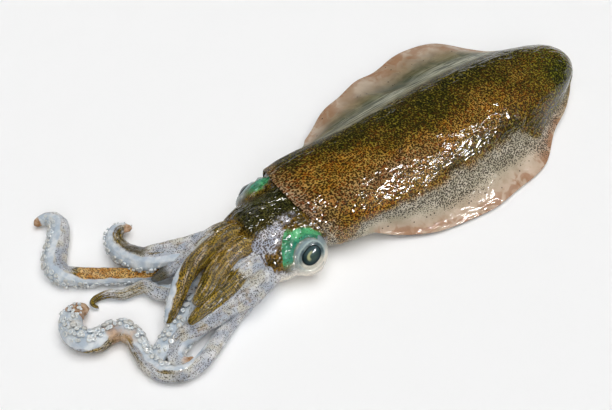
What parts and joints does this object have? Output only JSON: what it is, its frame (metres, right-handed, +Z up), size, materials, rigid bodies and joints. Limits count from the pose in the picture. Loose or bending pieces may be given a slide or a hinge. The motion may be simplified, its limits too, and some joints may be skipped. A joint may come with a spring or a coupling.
{
  "type": "whole raw squid",
  "caption": "Whole raw squid with a broad mantle, fins along its sides, large eyes, curling arms and tentacles, lying belly down as it would on a fish counter.",
  "frame": {"origin": "bottom centre of the whole animal's box, on the surface that it lies on", "axes": "+X from the arms to the tail tip, +Y to the animal's right, +Z up through its back"},
  "size_m": [0.4372, 0.1818, 0.0464],
  "materials": {
    "mantle_skin": "wet gloss",
    "fin_skin": "wet gloss",
    "head_skin": "wet gloss",
    "eye": "wet gloss",
    "funnel_skin": "wet gloss",
    "arm_skin": "wet gloss",
    "tentacle_skin": "wet gloss"
  },
  "bodies": {
    "root": {"mantle": "mantle_skin", "fin_left": "fin_skin", "fin_right": "fin_skin", "head": "head_skin", "eye_left": "eye", "eye_right": "eye", "funnel": "funnel_skin", "arm_left_1": "arm_skin", "arm_left_2": "arm_skin", "arm_left_3": "arm_skin", "arm_left_4": "arm_skin", "arm_right_1": "arm_skin", "arm_right_2": "arm_skin", "arm_right_3": "arm_skin", "arm_right_4": "arm_skin", "tentacle_left": "tentacle_skin", "tentacle_right": "tentacle_skin"}
  },
  "joints": []
}
